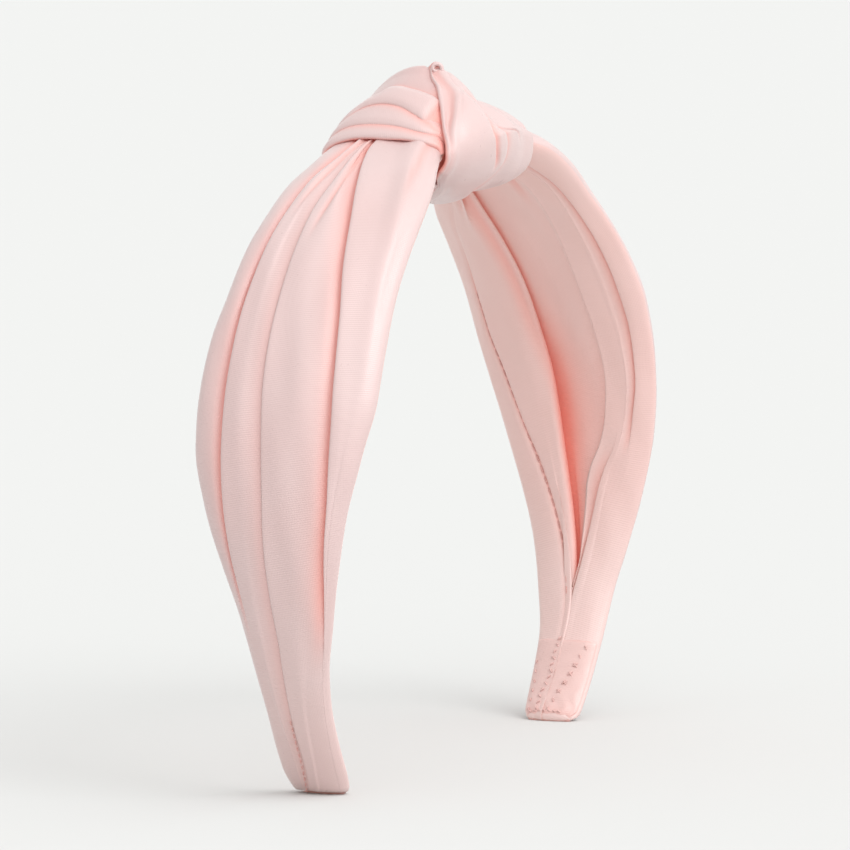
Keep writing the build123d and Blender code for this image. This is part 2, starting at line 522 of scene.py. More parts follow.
@dataclass(frozen=True)
class Arch:
    """The band's centreline: one arc over the crown and one a side down to the tip."""

    radius: float
    widest_height: float
    tip_inset: float

    @classmethod
    def from_frame(cls) -> Arch:
        """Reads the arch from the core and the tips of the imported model.

        Returns:
            The arch, in millimetres.
        """
        core_high, leg_high = (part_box(name)[1] for name in ("core_crown", "core_right"))
        tip = next(m for m in frame["record"]["mounts"] if m["name"] == "right_tip")
        half_core = cls.half_core()
        radius = leg_high.x / MM - half_core
        return cls(radius, core_high.z / MM - half_core - radius, radius - tip["pos_m"][0] / MM)

    @staticmethod
    def half_core() -> float:
        """Half of the core's thickness."""
        return 0.75

    @property
    def side_radius(self) -> float:
        """Radius of the arc from the widest point to the tip."""
        return (self.widest_height**2 + self.tip_inset**2) / (2 * self.tip_inset)

    @property
    def side_length(self) -> float:
        """Length along the band from the tip to the widest point."""
        return self.side_radius * math.asin(self.widest_height / self.side_radius)

    @property
    def length(self) -> float:
        """Length along the band from a tip to the crown."""
        return self.side_length + self.radius * math.pi / 2

    def at(self, s: Array) -> tuple[Array, Array]:
        """Centreline points and outward normals of the +X half.

        Args:
            s: Lengths along the band from the tip.

        Returns:
            Points and normals, each with X, Y and Z.
        """
        s = np.asarray(s, float)
        low = (s - self.side_length) / self.side_radius
        high = (s - self.side_length) / self.radius
        angle = np.where(s < self.side_length, low, high)
        radius = np.where(s < self.side_length, self.side_radius, self.radius)
        zero = np.zeros_like(s)
        normal = np.stack([np.cos(angle), zero, np.sin(angle)], axis=-1)
        centre = np.stack([self.radius - radius, zero, zero + self.widest_height], axis=-1)
        return centre + normal * radius[..., None], normal


PLEAT_FRONT_ROOM = 3.6
PLEAT_REAR_ROOM = 6.4
PLEAT_LEAD = -1.5  # where a pleat's first key lies ahead of its folded edge
# Y from the folded edge, height over the surface, painted shade down in the fold, and 1 where the cloth lies back
# by the whole tuck.
PLEAT_KEYS = (
    (PLEAT_LEAD, 0.12, 0.0, 0),
    (-0.3, 0.08, 0.0, 0),
    (0.04, -0.12, 0.1, 0),
    (-0.3, -0.34, 0.8, 0),
    (0.0, -0.5, 1.0, 1),
    (-0.12, -0.68, 1.0, 1),
    (0.3, -0.86, 1.0, 1),
    (-0.2, -1.0, 1.0, 0),
    (0.7, -0.92, 0.85, 0),
    (1.6, -0.62, 0.5, 0),
    (2.8, -0.25, 0.2, 0),
)


def pleat(
    edge: Array, ahead: Array, behind: Array, fold: Array | float, tuck: float, drop: Array | float, tint: float
) -> list[Array]:
    """Keys of a knife pleat whose folded edge points to +Y, in order from the front.

    Args:
        edge: Where the pleat's folded edge lies, in Y, on each line.
        ahead: The next line in front of it.
        behind: The next line behind it.
        fold: How far the pleat is folded, from 0, flat, to 1.
        tuck: How far the cloth goes back under the edge.
        drop: How much lower the cloth comes out.
        tint: The painted shade down in the fold.

    Returns:
        Keys as arrays of Y, height over the surface and painted shade.
    """
    before = np.clip((edge - ahead) / PLEAT_FRONT_ROOM, 0.03, 1)
    after = np.clip((behind - edge) / PLEAT_REAR_ROOM, 0.03, 1)
    keys = []
    for i, (from_edge, n, shade, tucked) in enumerate(PLEAT_KEYS):
        y = -tuck + from_edge if tucked else from_edge
        flat = PLEAT_LEAD + 0.3 * i if i < 6 else 0.56 * (i - 5)
        place = fold * y + (1 - fold) * flat
        depth = np.where(n < 0, n * drop, n)
        at = edge + place * np.where(place < 0, before, after)
        keys.append(np.stack([at, fold * depth, fold * shade * tint], axis=-1))
    return keys


@dataclass(frozen=True)
class Crease:
    """A soft crease in a sleeve: its line, the face it is on, its depth, width and the painted shade down in it.
    """

    line: Table
    face: int
    depth: float
    width: float
    tint: float


@dataclass
class Sleeve:
    """A leg's satin sleeve.

    Tables run from the tip at 0 mm towards the crown, and give Y or thickness. The slit's slope gives, at
    shares of its width, how sunk the cloth is where the flaps overlap and where they part, and its painted shade.
    The bend span gives X and Z where the sleeve starts and ends its turn from the crown to the leg.
    """

    side: Side
    arch: Arch
    rear: Table
    front: Table
    outer_thickness: Table = (
        (0, 2.3), (7, 2.5), (18, 2.8), (39, 3.8), (61, 4.8), (83, 5.3), (106, 5.1), (124, 4.4),
        (134, 3.8), (145, 3.4), (152, 3.2), (162, 2.8),
    )
    inner_thickness: Table = (
        (0, 2.0), (18, 2.5), (39, 3.4), (61, 4.3), (83, 4.8), (106, 4.7), (131, 4.5), (145, 4.2),
        (152, 3.6), (162, 3.0),
    )
    rear_pleat: Table = (
        (0, 1.6), (30, 4.6), (39, 6.0), (44, 6.9), (54, 8.6), (64, 10.0), (75, 11.0), (85, 11.5),
        (97, 11.6), (109, 11.1), (121, 10.0), (131, 8.8), (140, 6.6), (148, 5.6), (162, 5.0),
    )
    stitched_pleat: Table = (
        (0, 0.6), (5, -0.2), (12, -0.8), (34, -0.8), (44, 0.0), (54, 0.9), (64, 1.5), (75, 2.6),
        (85, 3.6), (97, 4.1), (121, 4.4), (131, 3.9), (140, 3.6), (162, 3.0),
    )
    front_pleat: Table = (
        (0, -5.0), (15, -6.4), (23, -7.4), (34, -9.4), (44, -10.5), (54, -11.1), (64, -11.7),
        (75, -11.6), (85, -10.9), (97, -9.5), (109, -6.9), (121, -4.3), (131, -1.6), (140, 0.8),
        (148, 2.2), (162, 2.0),
    )
    ridge: Table = (
        (0, -4.6), (30, -6.4), (60, -12.4), (85, -16.2), (100, -16.0), (106, -15.6), (121, -13.7),
        (131, -11.6), (140, -9.2), (147, -7.7), (162, -7.0),
    )
    seam: Table = (
        (0, 1.2), (12, -0.2), (23, -1.0), (34, 0.2), (44, 2.9), (54, 6.5), (64, 10.4), (75, 13.7),
        (85, 16.0), (97, 16.8), (110, 16.6), (125, 13.6), (140, 10.4), (162, 9.0),
    )
    rear_flap: Table = (
        (0, -2.4), (25, -2.6), (34, -2.2), (44, -1.0), (54, 0.5), (64, 1.7), (75, 2.6), (85, 3.7),
        (97, 4.8), (109, 6.6), (121, 8.0), (131, 8.2), (140, 7.0), (162, 5.0),
    )
    front_flap: Table = (
        (0, -0.8), (17, -0.6), (23, -1.3), (34, -3.3), (44, -5.1), (54, -7.2), (60, -9.6), (66, -11.0),
        (75, -11.8), (85, -11.1), (97, -9.8), (109, -9.1), (121, -8.6), (131, -8.2), (140, -7.0),
        (162, -5.4),
    )
    front_roll: Table = (
        (0, -4.2), (18, -5.2), (29, -6.4), (39, -7.8), (49, -9.2), (57, -11.6), (64, -13.4), (75, -15.2),
        (85, -15.4), (97, -14.6), (109, -13.3), (121, -11.8), (131, -10.8), (140, -9.4), (162, -7.4),
    )
    slit_slope: Sequence[tuple[float, float, float, float]] = (
        (0.12, 0.97, 0.95, 0.92),
        (0.26, 0.88, 0.80, 0.66),
        (0.44, 0.74, 0.56, 0.46),
        (0.62, 0.62, 0.34, 0.36),
        (0.8, 0.52, 0.14, 0.28),
    )
    end: float = 161.0
    floor_gap: float = 0.6
    bend_span: Sequence[tuple[float, float]] = ((12.0, 122.9), (25.0, 119.5))
    row_spacing: float = 0.95
    column_spacing: float = 0.5
    cap_rows: Sequence[tuple[float, float]] = (
        (0.97, 0.4), (0.9, 0.25), (0.75, 0.2), (0.35, 0.2), (0.02, 0.2),
    )
    gathers: Sequence[Crease] = (
        Crease(((118, 8.0), (130, 6.8), (140, 5.4), (150, 4.6)), 1, 0.55, 0.55, 0.4),
        Crease(((112, 2.2), (128, 1.6), (140, 2.2), (150, 2.6)), 1, 0.5, 0.6, 0.4),
        Crease(((126, -12.5), (136, -11.2), (146, -9.4), (150, -8.8)), 1, 0.4, 0.6, 0.35),
        Crease(((112, 13.0), (126, 11.8), (140, 9.4), (150, 8.4)), -1, 0.7, 0.7, 0.4),
        Crease(((120, -3.4), (132, -2.8), (146, -2.0), (150, -1.8)), -1, 0.6, 0.9, 0.35),
    )

    def table(self, name: str, s: Array) -> Array:
        """Reads one of the sleeve's tables."""
        return smooth(getattr(self, name), s)

    def dome(self, s: Array, y: Array) -> Array:
        """How thick the sleeve is at Y, as a share of its thickness in the middle.

        Args:
            s: Lengths from the tip.
            y: Places in Y.

        Returns:
            Shares from 0 at the edges to 1.
        """
        rear, front = self.table("rear", s), self.table("front", s)
        q = np.clip(np.abs((2 * y - rear - front) / (rear - front)), 0, 0.999)
        return (1 - q ** (2.1 + 0.5 * fade(s, 30, 80))) ** 0.5

    def keys(self, s: Array) -> Array:
        """Key points of the cloth round the sleeve at each length, as Y, height from the centreline and painted
        shade.

        The cloth starts tucked under the rear flap, runs to the front on the inside, over the front edge,
        to the rear on the outside, round the rear edge, and ends as the rear flap.

        Args:
            s: Lengths from the tip.

        Returns:
            Lines by keys by values.
        """
        rear, front = self.table("rear", s), self.table("front", s)
        one = np.ones_like(s)
        outer, inner = self.table("outer_thickness", s), self.table("inner_thickness", s)
        roomy = np.clip((rear - front) / 30, 0.3, 1)
        keys: list[Array] = []

        def add(y: Array, n: Array, tint: Array | float = 0.0) -> None:
            """Adds one key."""
            keys.append(np.stack([y * one, n * one, tint * one], axis=-1))

        def add_on(face: float, thickness: Array, offsets: list[Array]) -> None:
            """Adds keys that stand on the outer (1) or inner (-1) face."""
            for k in offsets:
                height = face * (thickness * self.dome(s, k[:, 0]) + k[:, 1])
                keys.append(np.stack([k[:, 0], height, k[:, 2]], axis=-1))

        def on(y: Array, lift: Array | float = 0.0, tint: Array | float = 0.0) -> Array:
            """A key at Y, lifted from a face."""
            return np.stack([y * one, lift * one, tint * one], axis=-1)

        flap, lap = self.table("rear_flap", s), self.table("front_flap", s)
        roll = self.table("front_roll", s)
        seam = np.minimum(self.table("seam", s), rear - 4.0 * roomy)
        crisp = 1 - fade(s, 62, 100)
        slit = 1.0 + 2.1 * fade(s, 8, 45) - 1.2 * fade(s, 70, 110) - 0.5 * fade(s, 120, 145)
        recess = np.minimum(0.88 * inner - 1.15, slit)
        # painted shade down in the recess where the rear flap overlaps
        add(flap + 1.6, -(inner * self.dome(s, flap + 1.6) - recess - 0.2), 1.0)
        depth = 0.28 + 0.72 * crisp
        add(flap - 0.4 * roomy, -(inner * self.dome(s, flap) - recess - 0.1), depth)
        gap = flap - lap
        overlap = 1 - fade(s, 46, 66)
        # painted shade down the slit
        for share, sunk, shallow, tint in self.slit_slope:
            y = flap - share * gap
            low = sunk * overlap + shallow * (1 - overlap)
            add(y, -(inner * self.dome(s, y) - low * recess), np.maximum(tint * depth, 0.3 - 0.2 * share))
        lap_fold = fade(s, 10, 18) * (0.05 + 0.95 * overlap)
        lap_drop = np.maximum(0.42 * recess, 0.25) * overlap + 0.2 * (1 - overlap)
        add_on(-1.0, inner, pleat(lap, roll, np.maximum(flap, lap + 1.2), lap_fold, 1.6, lap_drop, 0.5)[::-1])
        roll_fold = fade(s, 52, 70) * (1 - fade(s, 146, 156))
        add_on(-1.0, inner, [on((lap + roll) / 2, 0.12 * roll_fold)])
        add_on(-1.0, inner, pleat(roll, front + 1.2 * roomy, lap, roll_fold, 0.7, 0.5, 0.6)[::-1])
        start = front + 1.4 * roomy
        add_on(-1.0, inner, [on(start), on(front + 0.3 * roomy)])
        add(front, 0.0)
        add_on(1.0, outer, [on(front + 0.3 * roomy), on(start)])
        fore, mid, aft = (self.table(name, s) for name in ("front_pleat", "stitched_pleat", "rear_pleat"))
        ahead = fore - np.minimum(1.9, 0.55 * (fore - start))
        ridge = np.clip(self.table("ridge", s), start + 0.15 * (ahead - start), start + 0.7 * (ahead - start))
        crest = fade(s, 92, 118)
        add_on(1.0, outer, [on(ridge, 0.05 + 0.5 * crest), on((ridge + ahead) / 2, -0.3 * crest)])
        tight = fade(s, 124, 142)
        fore_drop = 0.55 + 0.95 * fade(s, 40, 80) - 0.4 * tight
        add_on(1.0, outer, pleat(fore, start, mid, fade(s, 28, 50), 1.6, fore_drop, 0.75))
        add_on(1.0, outer, [on(0.5 * (fore + mid) + 0.2, 0.2 - 0.3 * tight, 0.1 * tight)])
        mid_drop = 0.36 + 0.2 * fade(s, 40, 90) + 0.3 * tight
        add_on(1.0, outer, pleat(mid, fore, aft, 0.3 + 0.5 * fade(s, 0, 20), 1.0, mid_drop, 0.25))
        add_on(1.0, outer, [on(0.5 * (mid + aft) + 0.2, 0.12)])
        aft_drop = 0.8 + 0.9 * fade(s, 50, 85) - 0.9 * tight
        last = rear - 2.0 * roomy
        add_on(1.0, outer, pleat(aft, mid, last, fade(s, 34, 56), 1.8, aft_drop, 0.8))
        add_on(1.0, outer, [on(np.maximum(last, aft + 0.4)), on(rear - 0.5 * roomy)])
        add(rear, 0.0)
        add_on(-1.0, inner, [on(rear - 0.4 * roomy), on(rear - 1.9 * roomy)])
        groove = fade(s, 16, 40) * (1 - 0.8 * fade(s, 88, 112))
        wide = np.minimum(1.0, 0.3 + (rear - seam) / 12)
        # painted shade in the seam's groove
        add_on(
            -1.0,
            inner,
            [
                on(seam + 1.2 * wide, 0.08),
                on(seam + 0.4 * wide, -0.2 * groove, 0.25 * groove),
                on(seam, -0.45 * groove, 0.5 * groove),
                on(seam - 0.4 * wide, -0.15 * groove, 0.15 * groove),
                on(seam - 1.4 * wide, 0.15, 0.0),
                on(0.5 * (seam + flap), 0.35, 0.06),
            ],
        )
        under = 1 - fade(s, 24, 36)
        soft = 1 - crisp
        # painted shade under the edge of the rear flap
        add_on(
            -1.0,
            inner,
            [
                on(flap + 2.6 + 1.2 * soft, 0.25 - 0.3 * soft - 0.9 * under, 0.06 + 0.2 * soft),
                on(flap + 0.9 + 1.2 * soft, 0.1 - 0.5 * soft * recess - 0.9 * under, 0.2 + 0.35 * soft),
                on(flap + 0.1 + 0.5 * soft, -0.3 - 0.3 * recess - 0.9 * under, 0.85 * depth),
                on(flap + 0.5, -0.75 * recess - 0.5 * under, depth),
                on(flap + 1.6, -0.9 * recess - 0.25, 1.0),
            ],
        )
        return np.stack(keys, axis=1)

    def place(self, s: Array, y: Array, n: Array) -> Array:
        """Points in space from the length along the band, Y, and the height from the centreline.

        Args:
            s: Lengths from the tip.
            y: Places in Y.
            n: Heights from the centreline.

        Returns:
            Points with X, Y and Z.
        """
        centre, normal = self.arch.at(s)
        points = centre + normal * n[..., None]
        points[..., 1] = y
        points[..., 0] *= self.side.value
        return points

    def sheet(self) -> Cloth:
        """The whole sleeve as one sheet of cloth, closed at the tip.

        Returns:
            The sheet.
        """
        s = np.linspace(0, self.end, round(self.end / self.row_spacing) + 1)
        line = rounded_line(self.keys(s), self.column_spacing)
        y, n, tint = line[..., 0], line[..., 1], np.clip(line[..., 2], 0, 1)
        run = s[:, None]
        ripple = 0.10 * np.sin(y * 0.55 + run * 0.11 + 1.3) + 0.07 * np.sin(y * 0.9 - run * 0.23)
        n = n + ripple * np.sign(n) * fade(s, 10, 40)[:, None]
        for crease in self.gathers:
            centre = smooth(crease.line, s)[:, None]
            reach = np.exp(-(((y - centre) / crease.width) ** 2)) * (n * crease.face > 0)
            reach = reach * fade(s, crease.line[0][0], crease.line[0][0] + 14)[:, None]
            n = n - crease.face * crease.depth * reach
            # painted shade down in the gathers
            tint = np.clip(tint + crease.tint * reach, 0, 1)
        # painted shade over the whole inner face, for the arch's shade
        tint = np.maximum(tint, 0.13 * (n < 0) * fade(s, 25, 60)[:, None])
        # painted glow on the inner face, and on the outer face near the tip, for light from inside the arch and
        # from below
        painted_glow = np.where(n < 0, 1.0, 0.35 * (1 - fade(s, 15, 55))[:, None])
        points = self.place(np.broadcast_to(s[:, None], y.shape), y, n)
        points[..., 2] = np.maximum(points[..., 2], self.floor_gap)
        foot = points[0]
        middle = foot.mean(axis=0)
        caps = []
        for share, height in self.cap_rows:
            row = middle + (foot - middle) * share
            row[:, 2] = height
            caps.append(row)
        points = np.concatenate([np.stack(caps[::-1]), points])
        # the cap rows copy the foot row's painted shade and glow
        tint, painted_glow = (np.concatenate([np.repeat(v[:1], len(caps), axis=0), v]) for v in (tint, painted_glow))
        return Cloth(points, tint, painted_glow)

    def surface(self, s: Array, y: Array, face: int, lift: float) -> Array:
        """Points on or just off a face of the sleeve, without its folds."""
        thickness = self.table("outer_thickness" if face > 0 else "inner_thickness", s)
        return self.place(s, y, face * (thickness * self.dome(s, y) + lift))

    def make(self, satin: bpy.types.Material) -> bpy.types.Object:
        """Makes the sleeve in place of the frame's sleeve node, which it hides.

        Args:
            satin: Its finish.

        Returns:
            The new piece.
        """
        sheet = self.sheet()
        piece = make_cloth(f"pleated_sleeve_{self.side.word}", [sheet])
        piece.data.materials.append(satin)
        start, end = (Vector((self.side.value * x, 0, z)) * MM for x, z in self.bend_span)
        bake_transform(piece)
        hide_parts(f"sleeve_{self.side.word}")
        flat = (round(sheet.area() / self.end * MM, 3), round(self.end * MM, 3))
        return piece


# ---------------------------------------------------------------------------------------------
# The knot
# ---------------------------------------------------------------------------------------------


@dataclass
class KnotForm:
    """The outer form that the knot's passes lie on, as sections across the band along X."""

    arch: Arch
    front_width: Table = (
        (-24.5, 12.4), (-19.5, 12.6), (-14.5, 14.2), (-7, 15.4), (0, 15.6), (7, 14.9), (13, 14.1),
        (17, 14.2), (20, 13.2), (23.5, 12.2),
    )
    rear_width: Table = (
        (-24.5, 14.4), (-21, 14.6), (-17, 14.0), (-14.5, 14.0), (-7, 14.6), (0, 15.0), (7, 15.0),
        (13, 14.4), (19, 13.6), (23.5, 13.2),
    )
    top: Table = (
        (-24.5, 4.6), (-23.5, 5.2), (-21.5, 6.2), (-19.5, 7.2), (-14.5, 9.8), (-7, 12.1), (-3.4, 13.4),
        (0, 10.6), (3, 8.8), (7, 7.3), (13, 6.5), (19, 6.0), (23.5, 5.4),
    )
    bottom: Table = (
        (-24.5, 5.4), (-19.5, 7.2), (-14.5, 9.8), (-7, 12.2), (0, 13.8), (7, 12.8), (13, 11.8),
        (18, 9.9), (23.5, 6.8),
    )
    inset: float = 1.4

    def point(self, x: Array, angle: Array) -> Array:
        """Points on the form.

        Args:
            x: Distances along X.
            angle: Degrees round the band from its top, positive over the front.

        Returns:
            Points with X, Y and Z.
        """
        a = np.radians(angle)
        round_y, round_z = np.sin(a), np.cos(a)
        narrow = np.where(round_y > 0, fade(x, -11, -3) * (1 - 0.8 * fade(x, 1, 7)), 0.0)
        peak = np.where(round_y > 0, 0.9 * narrow, 0.55) * (1 - fade(np.abs(x), 12, 18))
        power = np.where(round_z > 0, 1 + peak, np.where(round_y > 0, 1 - 0.25 * fade(x, 3, 12), 1.0))
        power_y = np.where(round_z > 0, 1.0 + 0.45 * narrow, power)
        centre = self.arch.widest_height + np.sqrt(self.arch.radius**2 - x**2)
        height = np.where(round_z > 0, smooth(self.top, x), smooth(self.bottom, x))
        width = np.where(round_y > 0, smooth(self.front_width, x), smooth(self.rear_width, x))
        y = -width * np.sign(round_y) * np.abs(round_y) ** power_y
        return np.stack([x, y, centre + height * np.sign(round_z) * np.abs(round_z) ** power], axis=-1)

    def normal(self, x: Array, angle: Array) -> Array:
        """Outward normals of the form.

        Args:
            x: Distances along X.
            angle: Degrees round the band from its top.

        Returns:
            Normals at length 1.
        """
        run = self.point(x + 0.4, angle) - self.point(x - 0.4, angle)
        turn = self.point(x, angle + 3) - self.point(x, angle - 3)
        n = unit(np.cross(turn, run))
        outward = np.stack([0 * x, -np.sin(np.radians(angle)), np.cos(np.radians(angle))], axis=-1)
        return n * np.sign((n * outward).sum(axis=-1, keepdims=True) + 1e-9)


@dataclass
class Pass:
    """One pass of satin over the knot: its two edges along X at each angle round the band, and its lift.

    The hem is the width of the roll along its left edge, and angle_shade is the painted shade that it takes at
    each angle round the band, down in a fold or turned from the light.
    Creases are a line, a depth and a reach, with painted shade down in them. Overlaps are the edges of the passes
    that lie on it, which paint shade on it as far as the shade reach. Under is how far both edges turn down.
    """

    left: Table
    right: Table
    lift: Table
    start: float
    stop: float
    puff: float = 0.5
    creases: Sequence[tuple[Table, float, float]] = ()
    hem: Table | None = None
    angle_shade: Table = ((0, 0.0), (1, 0.0))
    overlaps: Sequence[Table] = ()
    shade_reach: float = 0.75
    under: float = 1.0

    def sheet(self, form: KnotForm, rows: int = 150) -> Cloth:
        """The pass as a sheet of cloth with both edges turned under.

        Args:
            form: The form that it lies on.
            rows: How many rows it has round the band.

        Returns:
            The sheet.
        """
        angle = np.linspace(self.start, self.stop, rows)
        left, right, lift = (smooth(t, angle) for t in (self.left, self.right, self.lift))
        width = np.maximum(right - left, 0.8)
        edge = np.minimum(0.28, 0.12 * width)
        zero = np.zeros_like(angle)
        keys = [
            # painted shade on the edges turned under
            (left + 5.0 * edge, lift - self.under, zero + 1),
            (left + 1.4 * edge, lift - 0.85 * self.under, zero + 0.95),
            (left - 0.1 * edge, lift - 0.36, zero + 0.5),
            (left + 0.5 * edge, lift + 0.10, zero + 0.04),
        ]
        if self.hem is not None:
            lens = smooth(self.hem, angle)
            full = np.minimum(1, lens / 2)
            # painted shade under the rolled hem
            keys += [
                (left + 0.12 * lens + 0.25, lift + 0.28, zero),
                (left + 0.30 * lens + 0.3, lift + 0.22 - 0.35 * full, zero + 0.10 * full),
                (left + 0.66 * lens + 0.4, lift + 0.20 - 0.50 * full, zero + 0.22 * full),
                (left + 0.90 * lens + 0.5, lift + 0.30 - 0.15 * full, zero + 0.30 * full),
                (left + 1.02 * lens + 0.8, lift + 0.55, zero + 0.05),
                (left + 1.20 * lens + 1.2, lift + 0.80, zero),
            ]
        inner_left = keys[-1][0] + 0.6 * edge
        inner_right = right - 2.2 * edge
        body_lift = lift + (0.55 if self.hem is not None else 0.18)
        for share in np.linspace(0.08, 0.92, 12):
            x = inner_left + share * (inner_right - inner_left)
            rise = self.puff * (1 - (2 * share - 1) ** 4) * np.minimum(1, width / 5)
            keys.append((x, body_lift + rise, zero))
        keys += [
            (right - 0.6 * edge, lift + 0.12, zero + 0.04),
            (right + 0.1 * edge, lift - 0.36, zero + 0.5),
            (right - 1.4 * edge, lift - 0.85 * self.under, zero + 0.95),
            (right - 5.0 * edge, lift - self.under, zero + 1),
        ]
        line = rounded_line(np.stack([np.stack(k, axis=-1) for k in keys], axis=1), 0.3)
        x, h, tint = line[..., 0], line[..., 1], np.clip(line[..., 2], 0, 1)
        turn = np.broadcast_to(angle[:, None], x.shape)
        # painted shade by angle round the band
        tint = np.maximum(tint, smooth(self.angle_shade, angle)[:, None])
        # painted shade where the edge of another pass lies on it
        for table in self.overlaps:
            off = np.abs(x - smooth(table, angle)[:, None])
            near = 0.5 * fade(angle, table[0][0] + 8, table[0][0] + 30)[:, None]
            tint = np.maximum(tint, near * np.exp(-((off / self.shade_reach) ** 1.5)))
        for table, depth, reach in self.creases:
            centre = smooth(table, angle)[:, None]
            first, last = table[0][0], table[-1][0]
            alive = fade(angle, first - 4, first + 10) * (1 - fade(angle, last - 10, last + 4))
            groove = np.exp(-(((x - centre) / reach) ** 2)) * alive[:, None]
            h = h - depth * groove
            # painted shade down in the crease
            tint = np.clip(tint + 0.95 * groove * min(1.0, depth), 0, 1)
        points = form.point(x, turn) + form.normal(x, turn) * (h - form.inset)[..., None]
        return Cloth(points, tint)


SECOND_LEFT: Table = (
    (-220, -16.4), (-100, -16.6), (-49, -16.8), (-34, -16.3), (-18, -16.6), (2, -17.5), (19, -18.6),
    (33, -19.2), (60, -19.6),
)
SECOND_RIGHT: Table = (
    (-220, -12.6), (-40, -12.2), (-21, -12.4), (-15, -11.4), (7, -12.8), (25, -13.3), (32, -13.5),
    (60, -14.4),
)
THIRD_LEFT: Table = (
    (-220, -19.2), (-75, -19.6), (-55, -19.8), (-37, -20.3), (-17, -21.0), (1, -21.4), (25, -21.6),
    (45, -20.8), (60, -19.6), (75, -19.2),
)
WRAP_RIGHT: Table = (
    (-85, 17.0), (-40, 15.0), (-15, 11.0), (8, 6.0), (30, 1.2), (47, -1.8), (60, -3.2), (76, -2.4),
    (89, -0.5), (99, 0.8), (112, 1.4), (121, 0.2), (129, -1.4), (138, -2.2), (153, 0.5), (180, 1.2),
    (220, 7.0),
)
TOP_CREASES: Sequence[tuple[Table, float, float]] = (
    (((-150, 2.0), (-90, 0.0), (-40, -4.0)), 0.5, 0.8),
    (((-170, -6.0), (-110, -6.5), (-60, -8.0)), 0.35, 0.8),
)
WRAP_CREASES: Sequence[tuple[Table, float, float]] = (
    (((40, -5.6), (47, -5.9), (59, -6.2), (78, -6.6), (97, -5.6), (117, -3.4)), 0.6, 0.8),
)


